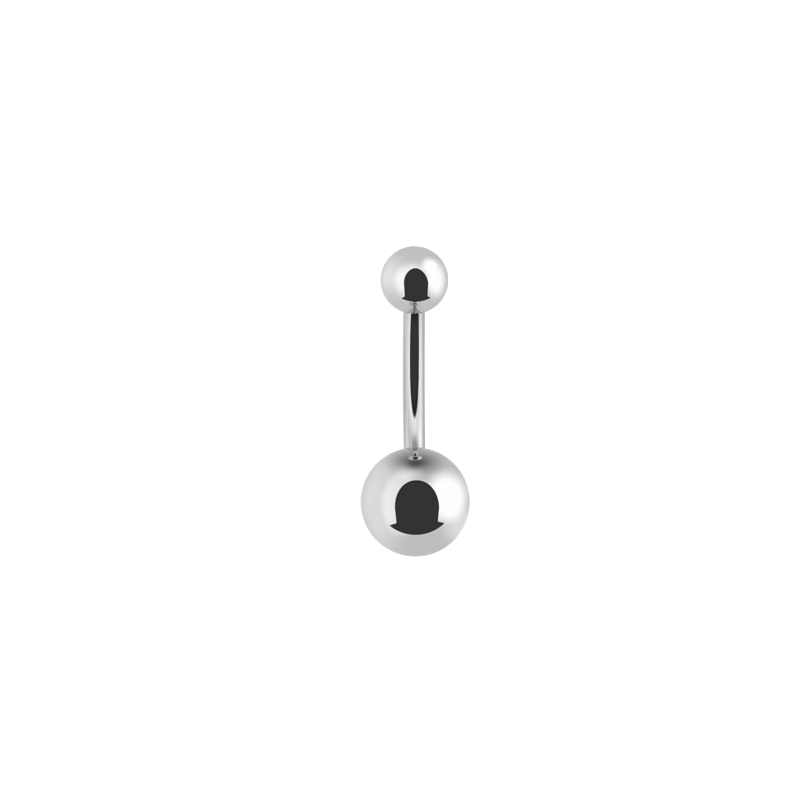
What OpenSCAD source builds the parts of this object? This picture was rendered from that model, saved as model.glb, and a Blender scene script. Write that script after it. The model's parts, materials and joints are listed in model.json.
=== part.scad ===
// A navel ring: a curved steel bar with a small ball screwed on one end and a large ball
// on the other. It lies on a flat surface as it comes to rest there: both balls and the
// outside of the bend touch the surface, so the plane of the bend leans over to one side.

/* [Bar] */
// Diameter of the curved bar
bar_d = 1.6; // [1.4:0.1:2]
// Straight distance between the two balls, between the points where the bar meets them
worn_length = 11.1; // [8:0.1:14]
// Radius of the bend, measured to the middle of the bar
bend_radius = 10.5; // [8:0.1:14]
// Bevel round the edge of the bar's shoulders
shoulder_bevel = 0.06; // [0.02:0.01:0.12]

/* [Balls] */
// Diameter of the small ball, at the top when worn
top_ball_d = 5; // [4:0.5:6]
// Diameter of the large ball, at the bottom when worn
bottom_ball_d = 8; // [6:0.5:10]
// Depth of the recess in each ball that takes the end of the bar
seat_depth = 0.25; // [0.15:0.05:0.5]
// Bevel round the mouth of the recess
rim_bevel = 0.05; // [0.02:0.01:0.12]

/* [Thread] */
// Diameter over the crests of the thread at each end of the bar
thread_d = 1.2; // [1:0.05:1.2]
// Distance from one crest to the next
thread_pitch = 0.25; // [0.2:0.05:0.35]
// Depth of the thread, from its crests to its core
thread_depth = 0.15; // [0.08:0.01:0.2]
// Length of the threaded end, from the shoulder to its tip
thread_length = 2.4; // [1.6:0.1:2.8]
// Plain neck between the shoulder and the first turn
neck_length = 0.3; // [0.15:0.05:0.5]
// Bevel at the tip of the thread
tip_bevel = 0.12; // [0.05:0.01:0.2]

/* [Fit] */
// Gap between the shoulder and the floor of the recess, with the ball screwed home
seat_gap = 0.02; // [0.01:0.01:0.05]
// Gap all round the bar inside the recess
recess_play = 0.05; // [0.03:0.01:0.1]
// Gap all round the crests of the thread inside the ball's hole
thread_play = 0.03; // [0.02:0.01:0.08]
// Gap between the tip of the thread and the end of the hole
bore_end_gap = 0.2; // [0.1:0.05:0.4]

/* [Hidden] */
$fn = 96;

bar_r = bar_d / 2;
top_r = top_ball_d / 2;
bottom_r = bottom_ball_d / 2;
recess_r = bar_r + recess_play;
crest_r = thread_d / 2;
core_r = crest_r - thread_depth;
bore_r = crest_r + thread_play;

// How far the cutters stand out of a ball, and how far the pin's root reaches into the bend
cut_over = 0.5;
root_length = 0.5;
// Share of the pitch that is the flat of a crest
crest_share = 0.12;
turns = floor((thread_length - neck_length - tip_bevel) / thread_pitch);

// The bend, in a plane of its own: Y runs from the large ball to the small one, Z points
// to the hollow side, and the centre of the bend is at the origin. The bend runs on to the
// shoulders, which are seat_depth inside the balls' rims. Half of its angle:
half_bend = asin(worn_length / 2 / norm([bend_radius, seat_depth])) + atan(seat_depth / bend_radius);
shoulder = [bend_radius * sin(half_bend), -bend_radius * cos(half_bend)];

// From a ball's centre to the shoulder: the rim is where the recess meets the sphere
function ball_reach(ball_r) = sqrt(pow(ball_r, 2) - pow(recess_r, 2)) - seat_depth + seat_gap;

// Centre of a ball in that plane, side being 1 for the small ball and -1 for the large
function ball_centre(ball_r, side) =
    let (reach = ball_reach(ball_r))
    [side * (shoulder[0] + reach * cos(half_bend)), shoulder[1] + reach * sin(half_bend)];

top_centre = ball_centre(top_r, 1);
bottom_centre = ball_centre(bottom_r, -1);
centre_line = top_centre - bottom_centre;
centre_distance = norm(centre_line);

// Slope of the line between the centres, within the bend's plane and then as it lies
line_slope = atan2(centre_line[1], centre_line[0]);
rest_pitch = asin((bottom_r - top_r) / centre_distance);

// The bend's centre, seen from the large ball: how far along the line between the balls,
// and how far off it. The roll about that line is the one at which the bend just touches
// the surface, or none for a bend too shallow to reach it.
bend_along = -bottom_centre[0] * cos(line_slope) - bottom_centre[1] * sin(line_slope);
bend_off = bottom_centre[0] * sin(line_slope) - bottom_centre[1] * cos(line_slope);
clear_height = bottom_r - bend_along * sin(rest_pitch) - bar_r;
span_term = pow(bend_radius, 2) - pow(bend_off, 2);
drop_term = pow(clear_height, 2) - pow(bend_radius * sin(rest_pitch), 2);
lean = (clear_height * bend_off + sqrt(pow(clear_height * bend_off, 2) + span_term * drop_term))
    / span_term;
rest_roll = acos(min(1, lean / cos(rest_pitch)));

// The large ball's place on the surface, with the whole ring centred on the origin
bottom_y = (bottom_r - top_r - centre_distance * cos(rest_pitch)) / 2;

// Stands its child, drawn in the bend's plane, on the surface
module at_rest() {
    translate([0, bottom_y, bottom_r])
        rotate([-rest_pitch, 0, 0])
        rotate([0, -rest_roll, 0])
        rotate([-line_slope, 0, 0])
        translate([0, -bottom_centre[0], -bottom_centre[1]])
        children();
}

// Puts its child on one shoulder, the child's Z axis pointing out of the bar
module at_end(side) {
    translate([0, side * shoulder[0], shoulder[1]])
        rotate([-side * (90 - half_bend), 0, 0])
        children();
}

// The bent rod, from shoulder to shoulder
module bend() {
    rotate([0, -90, 0])
        rotate([0, 0, 180 - half_bend])
        rotate_extrude(angle = 2 * half_bend)
        translate([bend_radius, 0])
        circle(r = bar_r);
}

// What is cut away round the edge of a shoulder
module shoulder_cut() {
    rotate_extrude()
        polygon([
            [bar_r - 2 * shoulder_bevel, shoulder_bevel],
            [bar_r + shoulder_bevel, -2 * shoulder_bevel],
            [bar_r + shoulder_bevel, shoulder_bevel]
        ]);
}

// The threaded pin: a root inside the bar, a neck, the turns and a bevelled nose
module thread() {
    flat = crest_share * thread_pitch / 2;
    turn_points = [for (i = [0:turns - 1])
        let (crest_z = neck_length + (i + 0.5) * thread_pitch)
        each [
            [core_r, neck_length + i * thread_pitch],
            [crest_r, crest_z - flat],
            [crest_r, crest_z + flat]
        ]];
    rotate_extrude()
        polygon(concat(
            [[0, -root_length], [core_r, -root_length]],
            turn_points,
            [
                [core_r, neck_length + turns * thread_pitch],
                [core_r, thread_length - tip_bevel],
                [core_r - tip_bevel, thread_length],
                [0, thread_length]
            ]
        ));
}

module curved_bar() {
    color([0.78, 0.78, 0.79])
        at_rest() {
            difference() {
                bend();
                for (side = [-1, 1])
                    at_end(side)
                    shoulder_cut();
            }
            for (side = [-1, 1])
                at_end(side)
                thread();
        }
}

// A ball on the Z axis that opens downwards, with the floor of its recess at the origin
module ball(ball_r) {
    rim = -seat_depth;
    difference() {
        translate([0, 0, ball_reach(ball_r) - seat_gap])
            sphere(r = ball_r);
        translate([0, 0, rim - cut_over])
            cylinder(r = recess_r, h = cut_over + seat_depth);
        translate([0, 0, rim - rim_bevel])
            cylinder(r1 = recess_r + 2 * rim_bevel, r2 = recess_r, h = 2 * rim_bevel);
        translate([0, 0, rim])
            cylinder(r = bore_r, h = seat_depth + thread_length + bore_end_gap);
    }
}

module top_ball() {
    color([0.78, 0.78, 0.79])
        at_rest()
        at_end(1)
        translate([0, 0, seat_gap])
        ball(top_r);
}

module bottom_ball() {
    color([0.78, 0.78, 0.79])
        at_rest()
        at_end(-1)
        translate([0, 0, seat_gap])
        ball(bottom_r);
}

curved_bar();
top_ball();
bottom_ball();
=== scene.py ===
import json
import math

import bpy
from mathutils import Matrix, Vector


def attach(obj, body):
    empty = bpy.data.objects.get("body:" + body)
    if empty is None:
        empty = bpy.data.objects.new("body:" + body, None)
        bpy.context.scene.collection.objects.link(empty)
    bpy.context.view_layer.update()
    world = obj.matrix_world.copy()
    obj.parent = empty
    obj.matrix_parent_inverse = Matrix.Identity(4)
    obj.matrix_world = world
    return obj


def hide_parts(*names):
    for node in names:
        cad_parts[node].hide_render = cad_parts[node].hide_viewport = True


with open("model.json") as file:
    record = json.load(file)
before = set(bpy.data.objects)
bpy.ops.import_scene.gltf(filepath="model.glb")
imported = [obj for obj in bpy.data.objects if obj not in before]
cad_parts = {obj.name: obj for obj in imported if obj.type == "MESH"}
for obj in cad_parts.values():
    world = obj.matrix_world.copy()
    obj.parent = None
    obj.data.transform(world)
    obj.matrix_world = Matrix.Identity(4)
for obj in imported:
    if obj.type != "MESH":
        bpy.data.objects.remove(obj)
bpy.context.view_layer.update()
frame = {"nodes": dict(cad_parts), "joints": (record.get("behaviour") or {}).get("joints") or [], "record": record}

# Everything is modelled with 1 unit = 1 mm and brought to metres when it is put in place
millimetre = 0.001

ringSizes = {                  # mm, radii unless a name says otherwise
    "bend": 10.5,
    "bar": 0.8,
    "shoulderBevel": 0.06,
    "smallBall": 2.5,
    "largeBall": 4.0,
    "recess": 0.85,
    "recessDepth": 0.25,
    "seatGap": 0.02,           # between the shoulder and the floor of the recess
    "bore": 0.63,
    "boreDepth": 2.6,          # from the floor of the recess
}

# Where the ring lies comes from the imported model: its mount and the directions its balls slide in
mount = frame["record"]["mounts"][0]
slideOut = {joint["child"]: Vector(joint["axis"]).normalized() for joint in frame["joints"]}
topOut, bottomOut = slideOut["top_ball_body"], slideOut["bottom_ball_body"]
hollow = (topOut + bottomOut).normalized()   # from the middle of the bar to the middle of the bend
along = (topOut - bottomOut).normalized()    # from the large ball's end to the small ball's
sideways = along.cross(hollow)
halfBend = math.atan2(topOut.dot(hollow), topOut.dot(along))
barMiddle = Vector(mount["pos_m"]) / millimetre
bendCentre = barMiddle + hollow * ringSizes["bend"]


def axesAt(xAxis, yAxis, zAxis, origin):
    place = Matrix((xAxis, yAxis, zAxis)).transposed().to_4x4()
    place.translation = origin
    return place


ringPlace = axesAt(sideways, along, hollow, bendCentre)


def shoulderPoint(side):       # in the ring's own axes, side 1 for the small ball's end
    bend = ringSizes["bend"]
    return Vector((0, side * bend * math.sin(halfBend), -bend * math.cos(halfBend)))


def outwards(side):
    return Vector((0, side * math.cos(halfBend), math.sin(halfBend)))


def ballCentre(radius, side):  # in the scene, mm
    s = ringSizes
    reach = math.sqrt(radius ** 2 - s["recess"] ** 2) - s["recessDepth"] + s["seatGap"]
    return ringPlace @ (shoulderPoint(side) + outwards(side) * reach)


smallCentre = ballCentre(ringSizes["smallBall"], 1)
largeCentre = ballCentre(ringSizes["largeBall"], -1)
print("found where the ring lies")


# nodes and colours
def linear(hexColour):
    parts = [int(hexColour[i:i + 2], 16) / 255 for i in (1, 3, 5)]
    return tuple(p / 12.92 if p <= 0.04045 else ((p + 0.055) / 1.055) ** 2.4 for p in parts) + (1.0,)


def addNode(tree, kind, settings=None, links=None):
    node = tree.nodes.new(kind)
    for name, value in (settings or {}).items():
        setattr(node, name, value)
    for socket, source in (links or {}).items():
        if isinstance(source, bpy.types.NodeSocket):
            tree.links.new(source, node.inputs[socket])
        else:
            node.inputs[socket].default_value = source
    return node


def emptyMaterial(name):
    material = bpy.data.materials.new(name)
    material.use_nodes = True
    material.node_tree.nodes.clear()
    return material, material.node_tree


# modelling helpers
closeness = {                  # mm
    "merge": 0.0005,           # points nearer than this become one
    "cut": 0.0001,             # a point this near the plane that cuts is on it
    "plane": 0.001,            # the same when the points of an end are picked
    "ring": 0.004,             # a point this near a ring's radius belongs to the thread
    "pole": 0.002,             # radius of the last ring before it is closed to a point
}
sharpFrom = 35                 # degrees between faces, from which an edge stays sharp


def clearSelection():
    if bpy.context.object and bpy.context.object.mode != "OBJECT":
        bpy.ops.object.mode_set(mode="OBJECT")
    bpy.ops.object.select_all(action="DESELECT")


def pickPoints(piece, wanted):  # goes into edit mode with just those vertices picked
    bpy.ops.object.mode_set(mode="OBJECT")
    mesh = piece.data
    for part in (mesh.polygons, mesh.edges, mesh.vertices):
        for item in part:
            item.select = False
    for vertex in mesh.vertices:
        vertex.select = wanted(vertex.co)
    bpy.ops.object.mode_set(mode="EDIT")
    bpy.ops.mesh.select_mode(type="VERT")


def growRings(centre, axis, start, rings):  # start and rings are (radius, distance along the axis)
    radius, offset = start
    for nextRadius, nextOffset in rings:
        bpy.ops.mesh.extrude_region_move(TRANSFORM_OT_translate={"value": axis * (nextOffset - offset)})
        change = nextRadius / radius
        bpy.ops.transform.resize(value=(change, change, change),
                                 center_override=centre + axis * nextOffset)
        radius, offset = nextRadius, nextOffset
    bpy.ops.mesh.merge(type="CENTER")


def cutThread(piece, end, out, start, stop, base, depth):
    # moves the fine rings of a pin or bore outwards along a right-hand helix that fades in and out
    t = threadShape
    side1 = out.orthogonal().normalized()
    side2 = out.cross(side1)
    bpy.ops.object.mode_set(mode="OBJECT")
    for vertex in piece.data.vertices:
        height = (vertex.co - end).dot(out)
        axisPoint = end + out * height
        spoke = vertex.co - axisPoint
        if not start < height < stop or abs(spoke.length - base) > closeness["ring"]:
            continue
        turn = math.atan2(spoke.dot(side2), spoke.dot(side1)) / (2 * math.pi)
        fromRoot = abs((height / t["pitch"] - turn) % 1.0 - 0.5) * 2 - t["rootFlat"]
        profile = min(max(fromRoot / (1 - t["rootFlat"] - t["crestFlat"]), 0), 1)
        fade = min((height - start) / t["fade"], (stop - height) / t["fade"], 1)
        vertex.co = axisPoint + spoke * ((base + depth * profile * max(fade, 0)) / spoke.length)


def finishMesh(piece):
    bpy.ops.object.mode_set(mode="EDIT")
    bpy.ops.mesh.select_all(action="SELECT")
    bpy.ops.mesh.remove_doubles(threshold=closeness["merge"])
    bpy.ops.mesh.normals_make_consistent(inside=False)
    bpy.ops.object.mode_set(mode="OBJECT")
    bpy.ops.object.shade_smooth_by_angle(angle=math.radians(sharpFrom))


def putInPlace(piece, place):
    clearSelection()
    piece.select_set(True)
    bpy.context.view_layer.objects.active = piece
    piece.matrix_world = Matrix.Scale(millimetre, 4) @ place
    bpy.ops.object.transform_apply(location=True, rotation=True, scale=True)


# the thread on the bar's pins and in the balls' bores
threadShape = {                # mm, flats as shares of the pitch
    "pitch": 0.25,
    "rings": 10,               # for each turn
    "rootFlat": 0.15,
    "crestFlat": 0.15,
    "fade": 0.12,
}
ringStep = threadShape["pitch"] / threadShape["rings"]

# the balls
ballShape = {
    "segments": 128,
    "rings": 96,
    "rimRounding": 0.045,      # mm, round the mouth of the recess
    "rimSteps": ((0.3, 0.02), (0.0, 0.06)),  # share of the rounding left, and mm in from the rim
    "cornerBevel": 0.02,       # round the floor of the recess
    "boreBevel": 0.06,         # round the mouth of the bore
    "thread": (0.12, 2.3),     # where the thread in the bore starts and stops
    "grooveDepth": 0.08,
    "drillPoint": 0.38,        # height of the cone at the end of the bore
}


def makeBall(name, radius):
    s, b = ringSizes, ballShape
    centreHeight = math.sqrt(radius ** 2 - s["recess"] ** 2) - s["recessDepth"]
    mouth = s["recess"] + b["rimRounding"]
    cutHeight = centreHeight - math.sqrt(radius ** 2 - mouth ** 2)
    clearSelection()
    bpy.ops.mesh.primitive_uv_sphere_add(
        segments=b["segments"], ring_count=b["rings"], radius=radius, location=(0, 0, centreHeight))
    ball = bpy.context.object
    ball.name = name
    bpy.ops.object.transform_apply(location=True)
    bpy.ops.object.mode_set(mode="EDIT")
    bpy.ops.mesh.select_all(action="SELECT")
    bpy.ops.mesh.bisect(plane_co=(0, 0, cutHeight), plane_no=(0, 0, 1), clear_inner=True,
                        threshold=closeness["cut"])
    pickPoints(ball, lambda co: co.z < cutHeight + closeness["merge"])
    rings = [(s["recess"] + share * b["rimRounding"], -s["recessDepth"] + inwards)
             for share, inwards in b["rimSteps"]]
    rings += [(s["recess"], -b["cornerBevel"]), (s["recess"] - b["cornerBevel"], 0),
              (s["bore"] + b["boreBevel"], 0), (s["bore"], b["boreBevel"])]
    first, last = b["thread"]
    rings += [(s["bore"], first + n * ringStep) for n in range(round((last - first) / ringStep) + 1)]
    rings += [(s["bore"], s["boreDepth"]), (closeness["pole"], s["boreDepth"] + b["drillPoint"])]
    growRings(Vector(), Vector((0, 0, 1)), (mouth, cutHeight), rings)
    cutThread(ball, Vector(), Vector((0, 0, 1)), first, last, s["bore"], b["grooveDepth"])
    finishMesh(ball)
    return ball


smallBall = makeBall("smallBall", ringSizes["smallBall"])
largeBall = makeBall("largeBall", ringSizes["largeBall"])
for ball, side in ((smallBall, 1), (largeBall, -1)):
    out = outwards(side)
    acrossAxis = Vector((1, 0, 0))
    seat = axesAt(acrossAxis, out.cross(acrossAxis), out, shoulderPoint(side) + out * ringSizes["seatGap"])
    putInPlace(ball, ringPlace @ seat)
print("made the balls")


# the bar
barShape = {
    "aroundBar": 96,
    "stepsAlong": 160,
    "core": 0.45,              # mm, radius of the thread's core
    "coreBevel": 0.04,         # where the core meets the shoulder
    "threadDepth": 0.15,
    "pinLength": 2.4,
    "neckLength": 0.28,
    "tipBevel": 0.12,
    "bevelSteps": 3,           # round the shoulders
}
clearSelection()
bpy.ops.mesh.primitive_circle_add(
    vertices=barShape["aroundBar"], radius=ringSizes["bar"], fill_type="NOTHING",
    location=shoulderPoint(-1), rotation=(-math.pi / 2 - halfBend, 0, 0))
curvedBar = bpy.context.object
curvedBar.name = "curvedBar"
bpy.ops.object.transform_apply(location=True, rotation=True)
bpy.ops.object.mode_set(mode="EDIT")
bpy.ops.mesh.select_all(action="SELECT")
bpy.ops.mesh.spin(steps=barShape["stepsAlong"], angle=-2 * halfBend, center=(0, 0, 0), axis=(1, 0, 0))
for side in (-1, 1):
    end, out = shoulderPoint(side), outwards(side)
    pickPoints(curvedBar, lambda co: abs((co - end).dot(out)) < closeness["plane"]
               and (co - end).length < 2 * ringSizes["bar"])
    tip, core, neck = barShape["pinLength"], barShape["core"], barShape["neckLength"]
    threadEnd = tip - barShape["tipBevel"]
    rings = [(core + barShape["coreBevel"], 0), (core, barShape["coreBevel"])]
    rings += [(core, neck + n * ringStep) for n in range(round((threadEnd - neck) / ringStep))]
    rings += [(core, threadEnd), (core - barShape["tipBevel"], tip), (closeness["pole"], tip)]
    growRings(end, out, (ringSizes["bar"], 0), rings)
    cutThread(curvedBar, end, out, neck, threadEnd, core, barShape["threadDepth"])
    pickPoints(curvedBar, lambda co: abs((co - end).dot(out)) < closeness["plane"]
               and abs((co - end).length - ringSizes["bar"]) < closeness["plane"])
    bpy.ops.mesh.bevel(offset=ringSizes["shoulderBevel"], segments=barShape["bevelSteps"], affect="EDGES")
finishMesh(curvedBar)
putInPlace(curvedBar, ringPlace)
print("made the bar")


# materials
steel = {
    "light": "#CBCBCB",
    "dark": "#C6C6C6",
    "rim": "#ECECEC",
    "roughness": (0.01, 0.025),
    "driftSize": 2.5,          # mm, across a drift in the polish
    "driftRange": (0.3, 0.7),
    "hairline": 0.03,          # roughness added along a hairline scratch
    "hairlineSize": (2.0, 0.04),  # mm, long and wide
    "hairlineTurn": (0.4, 0.5, 1.2),  # radians
    "hairlineRange": (0.68, 0.76),
}


def polishedSteel(name):
    # 316L surgical steel, ground and buffed to a mirror: a pale neutral grey that shows its surroundings
    # sharply, with only a breath of haze where the buffing wheel left more or less compound
    material, tree = emptyMaterial(name)
    place = addNode(tree, "ShaderNodeTexCoord").outputs["Object"]
    drifts = addNode(tree, "ShaderNodeTexNoise", {"noise_dimensions": "3D"}, {
        "Vector": place, "Scale": 1 / (steel["driftSize"] * millimetre), "Detail": 3.0,
        "Roughness": 0.5}).outputs["Fac"]
    colour = addNode(tree, "ShaderNodeMix", {"data_type": "RGBA"}, {
        "Factor": drifts, "A": linear(steel["dark"]), "B": linear(steel["light"])})
    haze = addNode(tree, "ShaderNodeMapRange", {}, {
        "Value": drifts, "From Min": steel["driftRange"][0], "From Max": steel["driftRange"][1],
        "To Min": steel["roughness"][0], "To Max": steel["roughness"][1]})
    # hairlines left by handling, about four times as wide as real ones so that they show
    lineLength, lineWidth = (size * millimetre for size in steel["hairlineSize"])
    drawn = addNode(tree, "ShaderNodeMapping", {}, {
        "Vector": place, "Rotation": steel["hairlineTurn"],
        "Scale": (1 / lineLength, 1 / lineWidth, 1 / lineWidth)}).outputs["Vector"]
    streaks = addNode(tree, "ShaderNodeTexNoise", {}, {
        "Vector": drawn, "Scale": 1.0, "Detail": 0.0}).outputs["Fac"]
    hairlines = addNode(tree, "ShaderNodeMapRange", {}, {
        "Value": streaks, "From Min": steel["hairlineRange"][0], "From Max": steel["hairlineRange"][1],
        "To Min": 0.0, "To Max": steel["hairline"]})
    dullness = addNode(tree, "ShaderNodeMath", {"operation": "ADD"}, {
        0: haze.outputs["Result"], 1: hairlines.outputs["Result"]})
    # the tint holds a ball's rim a little below white
    surface = addNode(tree, "ShaderNodeBsdfPrincipled", {}, {
        "Metallic": 1.0, "Specular Tint": linear(steel["rim"])})
    tree.links.new(colour.outputs[2], surface.inputs["Base Color"])
    tree.links.new(dullness.outputs[0], surface.inputs["Roughness"])
    addNode(tree, "ShaderNodeOutputMaterial", {}, {"Surface": surface.outputs["BSDF"]})
    return material


mirrorSteel = polishedSteel("mirrorPolishedSteel")
barSteel = polishedSteel("polishedBarSteel")
for piece, material, slotName, body, node in (
        (smallBall, mirrorSteel, "ball_steel", "top_ball_body", "top_ball"),
        (largeBall, mirrorSteel, "ball_steel", "bottom_ball_body", "bottom_ball"),
        (curvedBar, barSteel, "bar_steel", "bar_body", "curved_bar")):
    piece.data.materials.clear()
    piece.data.materials.append(material)
    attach(piece, body)
    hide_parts(node)
for node, part in frame["nodes"].items():
    part.data.materials.clear()
    part.data.materials.append(barSteel if node == "curved_bar" else mirrorSteel)
print("gave the pieces their steel")


# the camera
view = {
    "tilt": 8.0,               # degrees by which the small ball leans away
    "turn": 1.0,               # degrees that the camera stands to the left of the bend's plane
    "distance": 420.0,         # mm
    "pixelsPerMm": 13.68,
    "middleRight": 14.94,      # px from the picture's centre to the middle between the balls
    "middleUp": 9.24,
    "roll": -0.18,             # degrees
    "sensorWidth": 36.0,       # mm
    "pictureWidth": 800,       # px
    "clip": (0.01, 10.0),      # m
}
centreLine = (smallCentre - largeCentre).normalized()
straightOn = (hollow - centreLine * hollow.dot(centreLine)).normalized()
tilt, turn = math.radians(view["tilt"]), math.radians(view["turn"])
outOfBend = straightOn * math.cos(turn) - centreLine.cross(straightOn) * math.sin(turn)
back = (outOfBend * math.cos(tilt) - centreLine * math.sin(tilt)).normalized()
up = (centreLine - back * centreLine.dot(back)).normalized()
right = up.cross(back)
between = (smallCentre + largeCentre) / 2
eye = (between + back * view["distance"] - right * view["middleRight"] / view["pixelsPerMm"]
       - up * view["middleUp"] / view["pixelsPerMm"])
lens = bpy.data.cameras.new("camera")
lens.sensor_width = view["sensorWidth"]
lens.lens = view["pixelsPerMm"] * view["distance"] * view["sensorWidth"] / view["pictureWidth"]
lens.clip_start, lens.clip_end = view["clip"]
camera = bpy.data.objects.new("camera", lens)
bpy.context.scene.collection.objects.link(camera)
roll = Matrix.Rotation(math.radians(view["roll"]), 4, "Z")
camera.matrix_world = axesAt(right, up, back, eye * millimetre) @ roll
bpy.context.scene.camera = camera
print("set the camera")

# the floor
floorLook = {
    "radius": 1.2,             # m
    "corners": 96,
    "dark": "#F3F3F2",
    "light": "#F7F7F6",
    "grainsPerMetre": 900.0,   # clouds in the card's white, about 1.1 mm across
    "roughness": 0.9,
    "glow": 0.55,              # light from under the card, which washes the shadows out
}
clearSelection()
bpy.ops.mesh.primitive_circle_add(
    vertices=floorLook["corners"], radius=floorLook["radius"], fill_type="NGON", location=(0, 0, 0))
floor = bpy.context.object
floor.name = "paleFloor"
paleFloor, tree = emptyMaterial("mattWhiteCard")
place = addNode(tree, "ShaderNodeTexCoord").outputs["Object"]
grain = addNode(tree, "ShaderNodeTexNoise", {}, {
    "Vector": place, "Scale": floorLook["grainsPerMetre"], "Detail": 4.0}).outputs["Fac"]
tone = addNode(tree, "ShaderNodeMix", {"data_type": "RGBA"}, {
    "Factor": grain, "A": linear(floorLook["dark"]), "B": linear(floorLook["light"])})
card = addNode(tree, "ShaderNodeBsdfPrincipled", {}, {"Roughness": floorLook["roughness"]})
tree.links.new(tone.outputs[2], card.inputs["Base Color"])
glow = addNode(tree, "ShaderNodeEmission", {}, {"Color": (1, 1, 1, 1), "Strength": floorLook["glow"]})
both = addNode(tree, "ShaderNodeAddShader", {}, {0: card.outputs["BSDF"], 1: glow.outputs["Emission"]})
addNode(tree, "ShaderNodeOutputMaterial", {}, {"Surface": both.outputs["Shader"]})
floor.data.materials.append(paleFloor)

# the light: an even white room for the floor, and round each piece of steel a light tent that it mirrors
world = bpy.data.worlds.new("softStudio")
bpy.context.scene.world = world
world.use_nodes = True
world.node_tree.nodes["Background"].inputs["Color"].default_value = (1, 1, 1, 1)
world.node_tree.nodes["Background"].inputs["Strength"].default_value = 1.0

# A place in a tent is given as (across, upright): the slope of the mirror ball's surface that shows it,
# from -1 to 1 either way. Lamps add to the cloth's light and shades take a share of it, each as
# (strength, across, upright, half width, half height, share of the size at full strength). Shades on the
# foot are (strength, centre in the tent's own axes in mm, radius in mm, share of it at full strength).
# "behind" is the level straight behind the piece. The opening is an arch on a brim: "widest" is how far up
# the arch is widest, "lean" how far its middle has moved at the top, and the brim is where two circles
# overlap, each (across, upright, radius).
tents = {
    "largeBall": {
        "cloth": 0.89,
        "behind": 1.02,
        "halfLength": 0.0,
        "lamps": [(0.81, 0.56, 0.09, 0.50, 0.57, 0.45), (0.32, -0.96, -0.06, 1.03, 1.50, 0.28),
                  (0.28, -0.28, -0.03, 0.38, 0.66, 0.65), (0.36, 0.90, -0.48, 0.55, 0.48, 0.19),
                  (0.61, -0.10, 0.58, 0.34, 0.24, 0.0), (0.20, -1.05, 0.05, 0.30, 0.70, 0.0)],
        "shades": [(0.84, 0.01, 0.73, 0.68, 0.32, 0.0), (0.40, -0.02, 0.69, 0.22, 0.12, 0.0)],
        "footShades": [],
        "opening": {"top": 0.405, "widest": -0.10, "halfWidth": 0.403, "middle": 0.030, "lean": -0.010,
                    "roundness": 2.1, "foot": -0.466, "footHalfWidth": 0.365,
                    "brimBottom": (0.006, 0.164, 0.755), "brimTop": (0.085, -1.896, 1.58)},
    },
    "smallBall": {
        "cloth": 0.92,
        "behind": 0.99,
        "halfLength": 0.0,
        "lamps": [(0.75, 0.42, 0.42, 0.31, 0.30, 0.23), (0.39, -0.79, 0.13, 0.72, 0.98, 0.0),
                  (0.55, -0.09, -0.05, 0.63, 0.66, 0.49), (0.78, 0.62, 0.0, 0.39, 0.69, 0.27),
                  (0.30, -1.05, 0.05, 0.30, 0.70, 0.0)],
        "shades": [(0.25, -0.03, -1.0, 0.45, 0.30, 0.0)],
        "footShades": [],
        "opening": {"top": 0.340, "widest": -0.10, "halfWidth": 0.359, "middle": 0.045, "lean": -0.024,
                    "roundness": 1.85, "foot": -0.53, "footHalfWidth": 0.335,
                    "brimBottom": (0.024, 0.285, 0.930), "brimTop": (0.060, -1.206, 0.80)},
    },
    "curvedBar": {
        "cloth": 0.71,
        "behind": 0.77,
        "halfLength": 5.5,     # mm, of the bar that the tent takes as straight
        "lamps": [(0.79, -0.38, -0.25, 1.05, 1.14, 0.0), (0.63, 0.60, 0.15, 0.29, 0.93, 0.18),
                  (0.19, 0.0, 0.21, 0.29, 0.31, 0.80), (0.42, 0.39, 0.41, 0.49, 0.27, 0.0)],
        "shades": [(0.48, 0.05, 0.51, 0.66, 0.12, 0.0), (0.24, -1.23, -0.66, 0.91, 1.30, 0.70),
                   (0.22, -0.55, 0.48, 0.40, 0.30, 0.10)],
        "footShades": [(0.13, (-2.5, -3.0, 1.4), 3.5, 0.46), (0.52, (-4.8, -1.0, 3.4), 2.4, 0.5),
                       (0.65, (-6.5, 8.0, 4.5), 8.1, 0.34)],
        "opening": {"top": 0.309, "widest": -0.12, "halfWidth": 0.434, "middle": 0.036, "lean": 0.0,
                    "roundness": 1.92, "foot": -0.48, "footHalfWidth": 0.400,
                    "brimBottom": (0.025, 0.215, 0.828), "brimTop": (0.03, -1.394, 1.0)},
    },
}
tentLook = {
    "segments": 64,            # round a dome, and half as many rings
    "radius": 118.0,           # mm
    "radiusStep": 1.0,         # from one piece's tent to the next
    "footHeight": 0.02,        # above the floor
    "footStep": 0.005,
    "roomRadius": 138.0,       # of the dark room round the tents
    "roomFoot": 0.01,
    "slopeRounds": 4,
    "evenOut": 1.7,            # in radii of the piece
    "opening": 0.057,          # light from the dark room behind the opening
    "openingEdge": 0.030,      # darker towards its edge
    "edgeWidth": (0.06, 0.13),  # mm on the piece's surface, as the blur and the rim's width are
    "edgeBlur": 0.015,
    "rimLight": 0.14,          # light that the bound edge of the cloth catches
    "rimWidth": 0.14,
}


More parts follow.
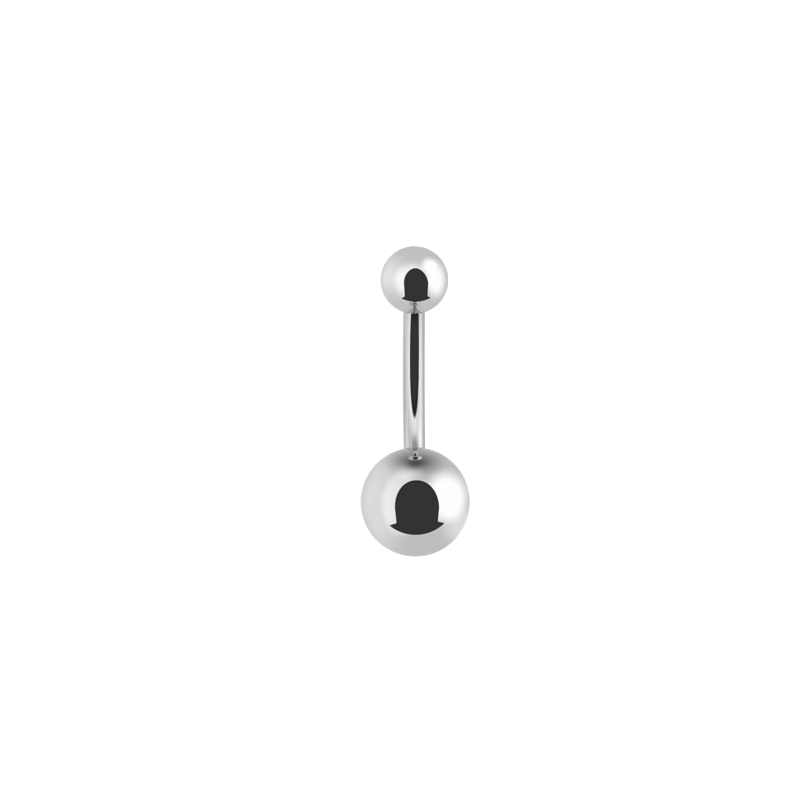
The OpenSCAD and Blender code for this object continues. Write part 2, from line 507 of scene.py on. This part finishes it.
def clothMaterial(name, look, radius):
    material, tree = emptyMaterial(name)
    material.cycles.emission_sampling = "NONE"
    place = addNode(tree, "ShaderNodeTexCoord").outputs["Object"]
    # from the nearest place on the bar's middle, or from the ball's centre
    above = addNode(tree, "ShaderNodeVectorMath", {"operation": "MAXIMUM"}, {
        0: place, 1: (0, -look["halfLength"], 0)}).outputs["Vector"]
    nearest = addNode(tree, "ShaderNodeVectorMath", {"operation": "MINIMUM"}, {
        0: above, 1: (0, look["halfLength"], 0)}).outputs["Vector"]
    fromMiddle = addNode(tree, "ShaderNodeVectorMath", {"operation": "SUBTRACT"}, {
        0: place, 1: nearest}).outputs["Vector"]
    # the slope that shows this place, better each time round as the light leaves the ball's surface
    # and not its centre
    fromSurface = fromMiddle
    for nearer in range(tentLook["slopeRounds"]):
        unit = addNode(tree, "ShaderNodeVectorMath", {"operation": "NORMALIZE"}, {
            0: fromSurface}).outputs["Vector"]
        halfway = addNode(tree, "ShaderNodeVectorMath", {"operation": "ADD"}, {
            0: unit, 1: (0, 0, 1)}).outputs["Vector"]
        slope = addNode(tree, "ShaderNodeVectorMath", {"operation": "NORMALIZE"}, {
            0: halfway}).outputs["Vector"]
        fromSurface = addNode(tree, "ShaderNodeVectorMath", {"operation": "MULTIPLY_ADD"}, {
            0: slope, 1: (-radius, -radius, -radius), 2: fromMiddle}).outputs["Vector"]
    flat = addNode(tree, "ShaderNodeVectorMath", {"operation": "MULTIPLY"}, {
        0: slope, 1: (1, 1, 0)}).outputs["Vector"]
    across, upright, _ = addNode(tree, "ShaderNodeSeparateXYZ", {}, {0: flat}).outputs

    level = look["cloth"]
    for kind in ("lamps", "shades"):
        isLamp = kind == "lamps"
        for strength, spotAcross, spotUpright, halfWidth, halfHeight, core in look[kind]:
            spot = addNode(tree, "ShaderNodeMapping", {"vector_type": "TEXTURE"}, {
                "Vector": flat, "Location": (spotAcross, spotUpright, 0),
                "Scale": (halfWidth, halfHeight, 1)}).outputs["Vector"]
            reach = addNode(tree, "ShaderNodeVectorMath", {"operation": "LENGTH"}, {
                0: spot}).outputs["Value"]
            part = addNode(tree, "ShaderNodeMapRange", {"interpolation_type": "SMOOTHSTEP"}, {
                "Value": reach, "From Min": core, "From Max": 1.0,
                "To Min": strength if isLamp else 1 - strength,
                "To Max": 0.0 if isLamp else 1.0}).outputs["Result"]
            level = addNode(tree, "ShaderNodeMath", {"operation": "ADD" if isLamp else "MULTIPLY"}, {
                0: part, 1: level}).outputs[0]

    # soft shadows on the tent's foot beside the piece, where one place shows at many slopes
    for strength, centre, size, core in look["footShades"]:
        gap = addNode(tree, "ShaderNodeVectorMath", {"operation": "DISTANCE"}, {
            0: place, 1: centre}).outputs["Value"]
        part = addNode(tree, "ShaderNodeMapRange", {"interpolation_type": "SMOOTHSTEP"}, {
            "Value": gap, "From Min": core * size, "From Max": size,
            "To Min": 1 - strength, "To Max": 1.0}).outputs["Result"]
        level = addNode(tree, "ShaderNodeMath", {"operation": "MULTIPLY"}, {
            0: part, 1: level}).outputs[0]

    # straight behind the piece, where the slopes of all sides meet, the light evens out; a place in front
    # of the piece keeps its depth, so it counts as far from there
    farOff = -1000             # mm, less than across or upright ever are, so both stay as they are
    sideOffset = addNode(tree, "ShaderNodeVectorMath", {"operation": "MAXIMUM"}, {
        0: fromMiddle, 1: (farOff, farOff, 0)}).outputs["Vector"]
    offAxis = addNode(tree, "ShaderNodeVectorMath", {"operation": "LENGTH"}, {
        0: sideOffset}).outputs["Value"]
    beside = addNode(tree, "ShaderNodeMapRange", {"interpolation_type": "SMOOTHSTEP"}, {
        "Value": offAxis, "From Min": radius, "From Max": tentLook["evenOut"] * radius,
        "To Min": 0.0, "To Max": 1.0}).outputs["Result"]
    level = addNode(tree, "ShaderNodeMix", {"data_type": "FLOAT"}, {
        "Factor": beside, "A": look["behind"], "B": level}).outputs[0]

    # how far inside the opening: under its arch, or in its brim
    o = look["opening"]
    halfWidth = addNode(tree, "ShaderNodeMapRange", {}, {
        "Value": upright, "From Min": o["foot"], "From Max": o["widest"],
        "To Min": o["footHalfWidth"], "To Max": o["halfWidth"]}).outputs["Result"]
    rise = addNode(tree, "ShaderNodeMapRange", {"clamp": False}, {
        "Value": upright, "From Min": o["widest"], "From Max": o["top"],
        "To Min": 0.0, "To Max": 1.0}).outputs["Result"]
    height = addNode(tree, "ShaderNodeMath", {"operation": "MAXIMUM"}, {0: rise, 1: 0.0}).outputs[0]
    middle = addNode(tree, "ShaderNodeMath", {"operation": "MULTIPLY_ADD"}, {
        0: height, 1: o["lean"], 2: o["middle"]}).outputs[0]
    aside = addNode(tree, "ShaderNodeMath", {"operation": "SUBTRACT"}, {
        0: across, 1: middle}).outputs[0]
    apart = addNode(tree, "ShaderNodeMath", {"operation": "ABSOLUTE"}, {0: aside}).outputs[0]
    width = addNode(tree, "ShaderNodeMath", {"operation": "DIVIDE"}, {
        0: apart, 1: halfWidth}).outputs[0]
    powers = [addNode(tree, "ShaderNodeMath", {"operation": "POWER"}, {
        0: one, 1: o["roundness"]}).outputs[0] for one in (width, height)]
    total = addNode(tree, "ShaderNodeMath", {"operation": "ADD"}, {
        0: powers[0], 1: powers[1]}).outputs[0]
    reach = addNode(tree, "ShaderNodeMath", {"operation": "POWER"}, {
        0: total, 1: 1 / o["roundness"]}).outputs[0]
    underArch = addNode(tree, "ShaderNodeMapRange", {"clamp": False}, {
        "Value": reach, "From Min": 0.0, "From Max": 1.0,
        "To Min": o["halfWidth"], "To Max": 0.0}).outputs["Result"]
    aboveFoot = addNode(tree, "ShaderNodeMath", {"operation": "SUBTRACT"}, {
        0: upright, 1: o["foot"]}).outputs[0]
    arch = addNode(tree, "ShaderNodeMath", {"operation": "MINIMUM"}, {
        0: underArch, 1: aboveFoot}).outputs[0]
    depths = []
    for circleAcross, circleUpright, circleRadius in (o["brimBottom"], o["brimTop"]):
        gap = addNode(tree, "ShaderNodeVectorMath", {"operation": "DISTANCE"}, {
            0: flat, 1: (circleAcross, circleUpright, 0)}).outputs["Value"]
        depths.append(addNode(tree, "ShaderNodeMath", {"operation": "SUBTRACT"}, {
            0: circleRadius, 1: gap}).outputs[0])
    brim = addNode(tree, "ShaderNodeMath", {"operation": "MINIMUM"}, {
        0: depths[0], 1: depths[1]}).outputs[0]
    inside = addNode(tree, "ShaderNodeMath", {"operation": "MAXIMUM"}, {0: arch, 1: brim}).outputs[0]

    # the cloth's bright edge round the opening, and the dark in it
    bright = addNode(tree, "ShaderNodeMapRange", {"interpolation_type": "SMOOTHSTEP"}, {
        "Value": inside, "From Min": -tentLook["rimWidth"] / radius, "From Max": 0.0,
        "To Min": 0.0, "To Max": tentLook["rimLight"]}).outputs["Result"]
    level = addNode(tree, "ShaderNodeMath", {"operation": "ADD"}, {0: bright, 1: level}).outputs[0]
    edgeStart, edgeStop = (edge / radius for edge in tentLook["edgeWidth"])
    darkness = addNode(tree, "ShaderNodeMapRange", {"interpolation_type": "SMOOTHSTEP"}, {
        "Value": inside, "From Min": edgeStart, "From Max": edgeStop,
        "To Min": tentLook["openingEdge"], "To Max": tentLook["opening"]}).outputs["Result"]
    blur = tentLook["edgeBlur"] / radius
    openHere = addNode(tree, "ShaderNodeMapRange", {"interpolation_type": "SMOOTHSTEP"}, {
        "Value": inside, "From Min": -blur, "From Max": blur,
        "To Min": 0.0, "To Max": 1.0}).outputs["Result"]
    shown = addNode(tree, "ShaderNodeMix", {"data_type": "FLOAT"}, {
        "Factor": openHere, "A": level, "B": darkness})
    light = addNode(tree, "ShaderNodeEmission", {}, {
        "Color": (1, 1, 1, 1), "Strength": shown.outputs[0]})
    through = addNode(tree, "ShaderNodeBsdfTransparent", {}, {"Color": (1, 1, 1, 1)})
    both = addNode(tree, "ShaderNodeAddShader", {}, {
        0: through.outputs["BSDF"], 1: light.outputs["Emission"]})
    addNode(tree, "ShaderNodeOutputMaterial", {}, {"Surface": both.outputs["Shader"]})
    return material


def raiseTent(name, middle, radius, ground, material):
    # a dome that only mirrors see, its flat foot just above the floor
    clearSelection()
    bpy.ops.mesh.primitive_uv_sphere_add(
        segments=tentLook["segments"], ring_count=tentLook["segments"] // 2, radius=radius)
    dome = bpy.context.object
    dome.name = name
    bpy.ops.object.mode_set(mode="EDIT")
    bpy.ops.mesh.select_all(action="SELECT")
    upAxis = Vector((right.z, up.z, back.z))
    bpy.ops.mesh.bisect(plane_co=upAxis * (ground - middle.z), plane_no=upAxis,
                        clear_inner=True, use_fill=True)
    bpy.ops.object.mode_set(mode="OBJECT")
    dome.matrix_world = Matrix.Scale(millimetre, 4) @ axesAt(right, up, back, middle)
    for seenBy in ("camera", "diffuse", "transmission", "volume_scatter", "shadow"):
        setattr(dome, "visible_" + seenBy, False)
    dome.data.materials.append(material)
    return dome


for number, (piece, middle, radius) in enumerate((
        (largeBall, largeCentre, ringSizes["largeBall"]),
        (smallBall, smallCentre, ringSizes["smallBall"]),
        (curvedBar, barMiddle, ringSizes["bar"]))):
    cloth = clothMaterial(piece.name + "TentCloth", tents[piece.name], radius)
    dome = raiseTent(piece.name + "Tent", middle, tentLook["radius"] + tentLook["radiusStep"] * number,
                     tentLook["footHeight"] + tentLook["footStep"] * number, cloth)
    litPieces = bpy.data.collections.new(piece.name + "Lit")
    litPieces.objects.link(piece)
    dome.light_linking.receiver_collection = litPieces
darkRoom, tree = emptyMaterial("darkRoom")
dark = addNode(tree, "ShaderNodeEmission", {}, {"Strength": 0.0})
addNode(tree, "ShaderNodeOutputMaterial", {}, {"Surface": dark.outputs["Emission"]})
raiseTent("darkRoomRoundTents", between, tentLook["roomRadius"], tentLook["roomFoot"], darkRoom)
print("set the floor and the light")

bpy.context.scene.view_settings.view_transform = "Standard"
bpy.context.scene.view_settings.look = "None"
clearSelection()
